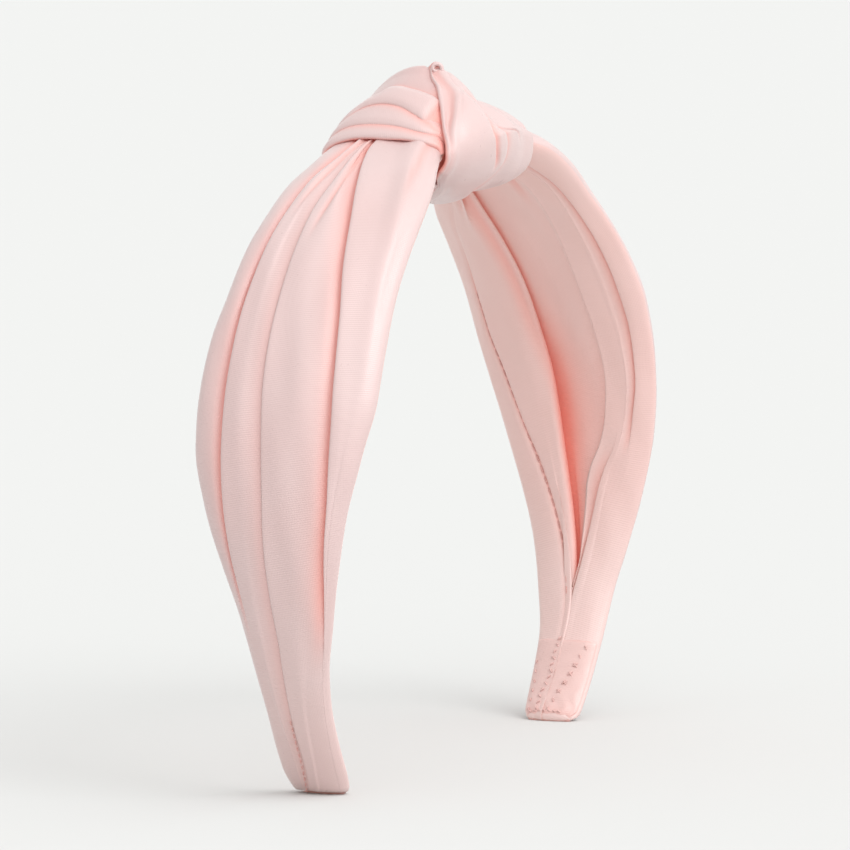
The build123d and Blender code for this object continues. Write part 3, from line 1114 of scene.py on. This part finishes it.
@dataclass
class Knot:
    """The knot at the crown, tied in the sleeves' own satin."""

    form: KnotForm
    filler_span: tuple[float, float] = (-18.5, 17.5)
    filler_depth: float = 2.2
    cloth_length: float = 110.0
    wrap_rows: int = 260
    curl_middle: tuple[float, float, float] = (-4.0, -2.8, 136.6)
    curl_start: float = -80.0
    curl_turn: float = 400.0
    curl_radius: float = 1.25
    curl_tightening: float = 0.85
    curl_roll: float = 0.42
    curl_reach: float = 1.35

    def filler(self) -> list[Cloth]:
        """The gathered satin inside the knot, seen only down its gaps.

        Returns:
            Its one sheet.
        """
        angle = np.linspace(-180, 180, 91)
        x = np.linspace(*self.filler_span, 60)
        turn, place = np.meshgrid(angle, x, indexing="ij")
        points = self.form.point(place, turn) - self.form.normal(place, turn) * self.filler_depth
        # painted shade: the filler is coloured as deep in a fold all over
        return [Cloth(points, np.ones(points.shape[:2]))]

    def pleats(self) -> tuple[list[Cloth], list[Cloth]]:
        """The pleated passes on the left leg's side, and the pass that lies across the top of them.

        Returns:
            The sheets of the pleated passes, and of the top pass.
        """
        top = Pass(
            left=((-220, -14.6), (0, -14.8), (30, -15.0), (60, -15.4)),
            right=(
                (-220, 2.0), (-175, 7.0), (-120, 9.5), (-80, 8.0), (-50, 5.5), (-25, 3.0), (0, 1.0),
                (15, -2.0), (30, -6), (60, -9),
            ),
            lift=((-220, 0.2), (-120, 0.6), (-60, 0.6), (-10, 0.5), (30, 0.2), (60, -0.1)),
            start=-215,
            stop=56,
            creases=TOP_CREASES,
            # painted shade where the top pass runs down under the wrap
            angle_shade=((-40, 0.0), (16, 0.05), (26, 0.35), (40, 0.9)),
            overlaps=(SECOND_RIGHT,),
        )
        second = Pass(
            left=SECOND_LEFT,
            right=SECOND_RIGHT,
            lift=((-220, 0.9), (-20, 1.35), (26, 1.4), (32, 1.1), (38, 0.2), (60, -0.1)),
            start=-215,
            stop=58,
            puff=0.45,
            angle_shade=((28, 0.0), (34, 0.4), (40, 0.7)),
        )
        third = Pass(
            left=THIRD_LEFT,
            right=(
                (-220, -15.6), (-40, -15.6), (0, -16.4), (20, -17.6), (33, -18.2), (45, -17.6),
                (75, -16.8),
            ),
            lift=((-220, 0.5), (0, 0.85), (35, 0.8), (50, 0.5), (75, 0.2)),
            start=-215,
            stop=72,
            puff=0.45,
            angle_shade=((36, 0.0), (48, 0.35), (60, 0.6)),
            overlaps=(SECOND_LEFT,),
        )
        fourth = Pass(
            left=(
                (-220, -22.0), (-99, -22.6), (-81, -22.7), (-35, -23.3), (0, -23.9), (28, -23.4),
                (47, -22.7), (76, -21.2), (90, -21.0),
            ),
            right=((-220, -18.8), (-60, -19.2), (0, -20.2), (30, -20.6), (50, -19.8), (90, -18.8)),
            lift=((-220, 0.1), (0, 0.4), (50, 0.35), (90, 0.0)),
            start=-215,
            stop=86,
            puff=0.35,
            angle_shade=((40, 0.0), (54, 0.35), (66, 0.6)),
            overlaps=(THIRD_LEFT,),
        )
        return [p.sheet(self.form) for p in (second, third, fourth)], [top.sheet(self.form)]

    def wrap(self) -> list[Cloth]:
        """The wide smooth pass over the front, with its rolled hem.

        Returns:
            Its one sheet.
        """
        return [
            Pass(
                left=(
                    (-85, 9.0), (-40, 5.0), (-15, 1.5), (4, -2.2), (12, -4.5), (17, -8.0), (27, -12.2),
                    (38, -15.4), (49, -17.6), (65, -19.8), (88, -21.4), (115, -21.4), (131, -19.2),
                    (150, -14.0), (167, -8.5), (181, -2.5), (220, 3.0),
                ),
                right=WRAP_RIGHT,
                lift=(
                    (-85, 0.4), (-30, 0.8), (5, 1.3), (40, 1.6), (80, 1.9), (125, 1.9), (150, 1.5),
                    (220, 0.6),
                ),
                start=-80,
                stop=215,
                puff=0.5,
                creases=WRAP_CREASES,
                hem=(
                    (-85, 0.2), (0, 0.3), (10, 1.2), (17, 3.8), (26, 5.2), (37, 4.7), (47, 3.2),
                    (56, 1.9), (68, 1.0), (90, 0.8), (115, 0.6), (140, 0.3), (220, 0.2),
                ),
            ).sheet(self.form, rows=self.wrap_rows)
        ]

    def tuck(self) -> list[Cloth]:
        """The passes on the right leg's side.

        Returns:
            Their sheets.
        """
        inner = Pass(
            left=(
                (-190, -2.0), (0, 2.0), (40, -3.0), (60, -6.0), (78, -5.5), (105, -2.0), (130, -4.0),
                (150, -3.0), (190, -2.0),
            ),
            right=(
                (-190, 10.4), (-90, 11.0), (0, 10.6), (50, 11.0), (70, 14.0), (84, 17.4), (100, 19.8),
                (120, 20.6), (135, 18.4), (150, 14.0), (190, 10.4),
            ),
            lift=((-190, 0.4), (40, 0.5), (70, 0.8), (90, 1.2), (135, 1.2), (150, 0.9), (190, 0.4)),
            start=-185,
            stop=185,
            puff=0.5,
            creases=((((50, -5.0), (66, -2.6), (74, 0.6), (81, 3.8), (92, 8.5)), 0.55, 0.6),),
            overlaps=(WRAP_RIGHT,),
            shade_reach=2.0,
        )
        middle = Pass(
            left=((-190, 9.6), (-90, 10.2), (0, 9.8), (60, 9.2), (130, 9.4), (190, 9.6)),
            right=((-190, 16.0), (-90, 16.4), (0, 16.2), (60, 17.0), (190, 16.0)),
            lift=((-190, 0.6), (0, 0.8), (60, 0.6), (80, 0.2), (150, 0.2), (190, 0.6)),
            start=-185,
            stop=185,
            puff=0.6,
        )
        outer = Pass(
            left=((-190, 15.4), (-90, 15.6), (0, 15.6), (190, 15.4)),
            right=((-190, 20.6), (-90, 21.2), (0, 21.4), (120, 20.2), (190, 20.6)),
            lift=((-190, 0.3), (0, 0.5), (60, 0.4), (80, 0.0), (150, 0.0), (190, 0.3)),
            start=-185,
            stop=185,
            puff=0.4,
            under=0.55,
        )
        return [p.sheet(self.form) for p in (inner, middle, outer)]

    def curl(self) -> list[Cloth]:
        """The small rolled peak where the hem turns over at the top of the knot, and the cloth inside it.

        Returns:
            The roll and the cloth inside it.
        """
        share = np.linspace(0, 1, 60)
        turn = np.radians(self.curl_start + self.curl_turn * share)
        radius = self.curl_radius - self.curl_tightening * share
        middle = np.array(self.curl_middle)
        along, side, up = (np.array(v) for v in (
            (0.91, 0.40, -0.12), (0.40, -0.92, 0.0), (0.10, 0.04, 0.99),
        ))
        spoke = np.cos(turn)[:, None] * side + np.sin(turn)[:, None] * up
        roll = middle + radius[:, None] * spoke
        reach = np.linspace(0, self.curl_reach, 8)
        wall = (middle + 0.35 * along)[None, None] + reach[None, :, None] * spoke[:, None]
        # painted shade on the cloth inside the roll
        return [thread_tube(roll, self.curl_roll, 12), Cloth(wall, np.full(wall.shape[:2], 0.6))]

    def make(self, satin: bpy.types.Material, cross: bpy.types.Material) -> list[bpy.types.Object]:
        """Makes the knot's pieces and joins them to the frame.

        Args:
            satin: The finish of most passes.
            cross: The finish of the top pass: a darker copy of the satin, painted shade.

        Returns:
            The new pieces.
        """
        made = []
        pleats, top = self.pleats()
        for name, node, finish, sheets in (
            ("knot_gathered_inside", "crown_gather", satin, self.filler()),
            ("knot_pleated_passes", "knot_pleats", satin, pleats),
            # the top pass gets the darker copy of the satin, painted shade
            ("knot_top_pass", "knot_pleats", cross, top),
            ("knot_smooth_wrap", "knot_wrap", satin, self.wrap() + self.curl()),
            ("knot_tucked_passes", "knot_tuck", satin, self.tuck()),
        ):
            piece = make_cloth(name, sheets)
            piece.data.materials.append(finish)
            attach(piece, "crown")
            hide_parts(node)
            area = sum(sheet.area() for sheet in sheets)
            flat = (round(area / self.cloth_length * MM, 3), round(self.cloth_length * MM, 3))
            made.append(piece)
        return made


# ---------------------------------------------------------------------------------------------
# Tips and stitches
# ---------------------------------------------------------------------------------------------


@dataclass
class TipFinish:
    """The turned-up satin at a tip, and the stitches of a leg."""

    sleeve: Sleeve
    wrap_height: float = 17.5
    wrap_span: float = 0.82
    thread: float = 0.14
    hand_thread: float = 0.16
    seam_span: tuple[float, float] = (27.0, 92.0)
    seam_pitch: float = 2.3
    pleat_span: tuple[float, float] = (0.8, 19.0)
    pleat_pitch: float = 1.5

    def wrap(self) -> Cloth:
        """The turned-up satin: a thin puckered sheet over the inside of the tip and under its foot.

        Returns:
            The sheet.
        """
        s = np.concatenate([np.linspace(self.wrap_height, 0.7, 40), np.zeros(9)])
        under = np.concatenate([np.zeros(40), np.linspace(0.06, 1, 9)])
        t = np.linspace(-self.wrap_span, self.wrap_span, 80)
        grid_s, grid_t = np.meshgrid(s, t, indexing="ij")
        grid_under = np.broadcast_to(under[:, None], grid_s.shape)
        rear, front = self.sleeve.table("rear", grid_s), self.sleeve.table("front", grid_s)
        narrow = 1 - 0.10 * np.exp(-grid_s / 0.8)
        y = (rear + front) / 2 + (rear - front) / 2 * narrow * np.sin(grid_t * math.pi / 2)
        dome = self.sleeve.dome(grid_s, y)
        lip = fade(grid_s, self.wrap_height - 0.5, self.wrap_height)
        lip = np.maximum(lip, fade(np.abs(grid_t), self.wrap_span - 0.08, self.wrap_span))
        pucker = 0.12 * np.sin(grid_t * 17 + 2 * np.sin(grid_s * 0.9)) * np.exp(-grid_s / 5)
        pucker = pucker + 0.05 * np.sin(grid_s * 1.7 + grid_t * 5)
        inner, outer = (self.sleeve.table(f"{face}_thickness", grid_s) for face in ("inner", "outer"))
        n = -(inner * dome + 0.24 - 0.3 * lip + pucker * np.abs(dome)) * narrow
        n = n + grid_under * (inner + outer * 0.9) * dome
        points = self.sleeve.place(grid_s, y, n)
        points[..., 2] = np.where(grid_under > 0, 0.05 + 0.06 * np.abs(pucker), points[..., 2])
        # painted shade near the foot and along the lip, and painted glow over the whole sheet
        tint = 0.06 + 0.3 * np.exp(-grid_s / 1.2) + 0.2 * lip
        return Cloth(points[::-1], tint[::-1], np.full_like(tint, 0.55))

    def dash(self, s0: float, y0: float, s1: float, y1: float, face: int, lift: float, radius: float) -> Cloth:
        """One stitch between two points of a face, sunk at both ends.

        Args:
            s0: The first end's length from the tip.
            y0: The first end's Y.
            s1: The second end's length from the tip.
            y1: The second end's Y.
            face: The outer (1) or inner (-1) face.
            lift: How far the middle stands off the face.
            radius: The thread's radius.

        Returns:
            The stitch.
        """
        share = np.linspace(0, 1, 9)
        s, y = s0 + share * (s1 - s0), y0 + share * (y1 - y0)
        bow = (lift - radius) + 1.4 * radius * np.sin(math.pi * share)
        base = self.sleeve.surface(s, y, face, 0.0)
        top = self.sleeve.surface(s, y, face, 1.0)
        return thread_tube(base + (top - base) * bow[:, None], radius)

    def seam_stitches(self) -> list[Cloth]:
        """The seam along the inside of the leg, down in its groove.

        Returns:
            Its stitches.
        """
        low, high = self.seam_span
        places = np.arange(low, high, self.seam_pitch)
        stitches = []
        for s in places:
            ends = s + np.array([0.15, self.seam_pitch - 0.25])
            y = self.sleeve.table("seam", ends)
            sunk = -0.42 * float(fade(s, 16, 40)) + 0.08
            share = np.linspace(0, 1, 9)
            at = (ends[0] + share * np.ptp(ends), y[0] + share * (y[1] - y[0]))
            path, raised = (self.sleeve.surface(*at, -1, lift) for lift in (0.0, 1.0))
            path = path + (raised - path) * (sunk + 0.1 * np.sin(math.pi * share))[:, None]
            stitches.append(thread_tube(path, self.thread))
        return stitches

    def pleat_stitches(self) -> list[Cloth]:
        """The short row on the outer pleat at the tip.

        Returns:
            Its stitches.
        """
        low, high = self.pleat_span
        stitches = []
        for s in np.arange(low, high, self.pleat_pitch):
            y0, y1 = self.sleeve.table("stitched_pleat", np.array([s, s + 0.9 * self.pleat_pitch])) + 0.12
            stitches.append(self.dash(s, y0, s + 0.72 * self.pleat_pitch, y1, 1, 0.12, self.thread))
        return stitches

    def tip_stitches(self) -> list[Cloth]:
        """Two rows of hand stitches on the turned-up satin, and short ones along its rear edge and foot.

        Returns:
            The stitches.
        """
        lift, radius, stitches = 0.36, self.hand_thread, []
        rng = np.random.default_rng(7)

        def add(s: float, y: float, ds: float, dy: float) -> None:
            """Adds one stitch about a middle."""
            a = rng.uniform(-0.15, 0.15, 2)
            ends = (s - ds / 2, y - dy / 2 + a[0], s + ds / 2, y + dy / 2 + a[1])
            stitches.append(self.dash(*ends, -1, lift, radius))

        for share in np.linspace(0, 1, 12):
            lean = 0.75 if round(share * 11) % 2 else -0.75
            add(17.5 - 16.0 * share, -0.9 + 1.9 * share + 0.2 * math.sin(9 * share), 0.8, lean)
        for share in np.linspace(0, 1, 8):
            s, y = 16.0 - 14.5 * share, -6.6 + 5.0 * share
            crossed = 0.25 < share < 0.8
            add(s, y, 0.95, 0.95 if crossed else 0.25)
            if crossed:
                add(s + 0.05, y, 0.95, -0.95)
        for share in np.linspace(0, 1, 6):
            add(12.5 - 11.0 * share, 3.6 - 0.8 * share, 0.8, 0.3)
        for share in np.linspace(0, 1, 7):
            add(0.9, 2.4 - 6.6 * share, 0.35, 0.8)
        return stitches

    def make(
        self, satin: bpy.types.Material, thread: bpy.types.Material, dark: bpy.types.Material
    ) -> list[bpy.types.Object]:
        """Makes the tip's pieces and joins them to the frame.

        Args:
            satin: The turned-up satin.
            thread: The hand-sewn thread.
            dark: The thread of the seam and the pleat.

        Returns:
            The new pieces.
        """
        word = self.sleeve.side.word
        leg = f"{word}_leg"
        sheet = self.wrap()
        flap = make_cloth(f"turned_up_tip_{word}", [sheet])
        flap.data.materials.append(satin)
        flat = (round(sheet.area() / self.wrap_height * MM, 3), round(self.wrap_height * MM, 3))
        made = [flap]
        for name, stitches, finish in (
            (f"seam_thread_{word}", self.seam_stitches(), dark),
            (f"pleat_thread_{word}", self.pleat_stitches(), dark),
            (f"hand_thread_{word}", self.tip_stitches(), thread),
        ):
            piece = make_cloth(name, stitches)
            piece.data.materials.append(finish)
            made.append(piece)
        nodes = ("tip_wrap", "seam_stitches", "pleat_stitches", "tip_stitches")
        for piece, node in zip(made, nodes):
            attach(piece, leg)
            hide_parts(f"{node}_{word}")
        return made


# ---------------------------------------------------------------------------------------------
# Studio
# ---------------------------------------------------------------------------------------------


@dataclass
class Studio:
    """A pale floor, soft light and the camera."""

    azimuth: float = -66.4
    elevation: float = 6.3
    distance: float = 2.2
    picture: float = 850.0
    sensor: float = 36.0
    scale: float = 5.07
    aim_height: float = 70.0
    aim_right: float = -1.26
    aim_up: float = -4.26
    floor_radius: float = 8.0
    floor_colour: Colour = (0.63, 0.635, 0.63)
    backdrop: float = 0.915
    tilt: float = 0.25
    dim: float = -0.1
    box_strength: float = 1.15
    box_focus: float = 4.0
    key_energy: float = 0.65
    key_angle: float = 34.0
    box_from: tuple[float, float, float] = (0.6, 0.7, 0.8)
    key_from: tuple[float, float, float] = (1.0, 0.75, 1.15)

    def directions(self) -> tuple[Vector, Vector, Vector]:
        """The camera's back, right and up directions.

        Returns:
            The three directions, at length 1.
        """
        a, e = math.radians(self.azimuth), math.radians(self.elevation)
        back = Vector((math.sin(a) * math.cos(e), -math.cos(a) * math.cos(e), math.sin(e)))
        right = Vector((math.cos(a), math.sin(a), 0))
        return back, right, back.cross(right)

    def make_camera(self) -> None:
        """Adds the camera."""
        back, right, up = self.directions()
        data = bpy.data.cameras.new("camera")
        data.sensor_width = self.sensor
        data.lens = self.sensor * self.scale / MM * self.distance / self.picture
        data.clip_end = 50.0
        camera = bpy.data.objects.new("camera", data)
        bpy.context.scene.collection.objects.link(camera)
        aim = Vector((0, 0, self.aim_height)) + right * self.aim_right + up * self.aim_up
        camera.location = aim * MM + back * self.distance
        camera.rotation_mode = "QUATERNION"
        camera.rotation_quaternion = (-back).to_track_quat("-Z", "Y")
        bpy.context.scene.camera = camera

    def make_floor(self) -> None:
        """Adds the floor."""
        count = 64
        angle = np.linspace(0, 2 * math.pi, count, endpoint=False)
        ring = np.stack([np.cos(angle), np.sin(angle), 0 * angle], axis=1) * self.floor_radius
        mesh = bpy.data.meshes.new("floor")
        mesh.from_pydata(ring.tolist(), [], [list(range(count))])
        floor = bpy.data.objects.new("floor", mesh)
        bpy.context.scene.collection.objects.link(floor)
        material, g = new_material("studio_floor")
        shader = g.out("ShaderNodeBsdfDiffuse", {}, {"Color": (*self.floor_colour, 1.0)})
        g.node("ShaderNodeOutputMaterial", {}, {"Surface": shader})
        mesh.materials.append(material)

    def make_light(self) -> None:
        """Adds the surrounding light with its soft box, and a wide key, both from above on the camera's right."""
        back, right, _ = self.directions()
        world = bpy.data.worlds.new("studio")
        bpy.context.scene.world = world
        world.use_nodes = True
        g = Graph(world.node_tree)
        view = g.out("ShaderNodeTexCoord", {}, {}, "Generated")

        def towards(direction: Vector) -> Value:
            """How far a view points in a direction."""
            ends = {0: view, 1: direction.normalized()}
            return g.out("ShaderNodeVectorMath", {"operation": "DOT_PRODUCT"}, ends, "Value")

        def lean(shares: tuple[float, float, float]) -> Vector:
            """A direction from its shares of right, back and up."""
            return right * shares[0] + back * shares[1] + Vector((0, 0, shares[2]))

        box = g.math("POWER", g.math("MAXIMUM", towards(lean(self.box_from)), 0.0), self.box_focus)
        strength = (towards(right) * self.tilt - towards(back) * self.dim + (1.0 - self.dim)) * self.backdrop
        strength = strength + box * self.box_strength
        sky = g.out("ShaderNodeBackground", {}, {"Color": (1.0, 1.0, 0.99, 1.0), "Strength": strength})
        g.node("ShaderNodeOutputWorld", {}, {"Surface": sky})
        data = bpy.data.lights.new("key", "SUN")
        data.energy, data.angle = self.key_energy, math.radians(self.key_angle)
        light = bpy.data.objects.new("key", data)
        bpy.context.scene.collection.objects.link(light)
        light.rotation_mode = "QUATERNION"
        light.rotation_quaternion = lean(self.key_from).to_track_quat("Z", "Y")
        bpy.context.scene.view_settings.view_transform = "Standard"

    def make(self) -> None:
        """Adds everything."""
        self.make_camera()
        self.make_floor()
        self.make_light()


def dress_core(core: bpy.types.Material) -> None:
    """Gives the carried-over nodes their finishes.

    Args:
        core: The core's plastic.
    """
    for name in ("core_crown", "core_left", "core_right"):
        frame["nodes"][name].data.materials.clear()
        frame["nodes"][name].data.materials.append(core)


LEFT_REAR: Table = (
    (0, 3.0), (2, 4.2), (7, 5.1), (18, 5.2), (29, 6.2), (39, 8.0), (49, 11.1), (61, 15.2), (72, 17.9),
    (83, 18.5), (94, 18.2), (103, 17.3), (116, 16.6), (124, 15.8), (133, 14.9), (141, 13.4), (150, 12.2),
    (162, 10.5),
)
LEFT_FRONT: Table = (
    (0, -6.8), (2, -7.7), (7, -8.2), (18, -8.3), (29, -9.2), (39, -11.1), (49, -12.7), (61, -14.6),
    (72, -16.8), (83, -18.5), (94, -18.2), (105, -17.6), (121, -16.9), (128, -16.3), (135, -15.2),
    (145, -12.4), (150, -11.0), (162, -9.5),
)
RIGHT_REAR: Table = (
    (0, 3.4), (2, 4.2), (7, 4.5), (18, 4.8), (29, 6.7), (39, 8.9), (49, 11.8), (61, 15.5), (72, 18.2),
    (83, 20.0), (94, 20.8), (103, 21.4), (111, 21.6), (121, 20.0), (131, 16.8), (141, 13.8), (150, 12.2),
    (162, 10.5),
)
RIGHT_FRONT: Table = (
    (0, -7.0), (2, -7.8), (7, -8.2), (18, -8.9), (29, -9.9), (39, -12.1), (49, -14.5), (61, -17.0),
    (72, -18.3), (83, -18.8), (91, -18.8), (101, -17.8), (108, -16.8), (115, -15.7), (123, -14.8),
    (131, -14.7), (142, -14.0), (149, -11.4), (162, -8.6),
)


def main() -> None:
    """Builds the headband and its studio."""
    logging.basicConfig(level=logging.INFO, format="%(message)s")
    arch = Arch.from_frame()
    satin = Satin("pink_satin").make()
    turned = Satin("pink_satin_turned", lit=(0.64, 0.48, 0.465), worn=(0.625, 0.43, 0.41)).make()
    # a darker copy of the satin with more glow: painted shade for the top pass
    cross = Satin(
        "pink_satin_painted_shade", lit=(0.565, 0.405, 0.395), worn=(0.55, 0.36, 0.348), glow=(0.11, 0.02, 0.013)
    ).make()
    thread = Thread("pale_thread", (0.72, 0.48, 0.45), (0.62, 0.35, 0.32)).make()
    dark = Thread("seam_thread", (0.68, 0.38, 0.34), (0.58, 0.26, 0.23)).make()
    core = Moulded("core_plastic", (0.70, 0.68, 0.64), (0.62, 0.60, 0.56)).make()
    Studio().make()
    left = Sleeve(Side.LEFT, arch, LEFT_REAR, LEFT_FRONT)
    right = Sleeve(Side.RIGHT, arch, RIGHT_REAR, RIGHT_FRONT)
    for sleeve in (left, right):
        LOG.info("made %s", sleeve.make(satin).name)
        for piece in TipFinish(sleeve).make(turned, thread, dark):
            LOG.info("made %s", piece.name)
    for piece in Knot(KnotForm(arch)).make(satin, cross):
        LOG.info("made %s", piece.name)
    dress_core(core)


if __name__ == "__main__":
    main()
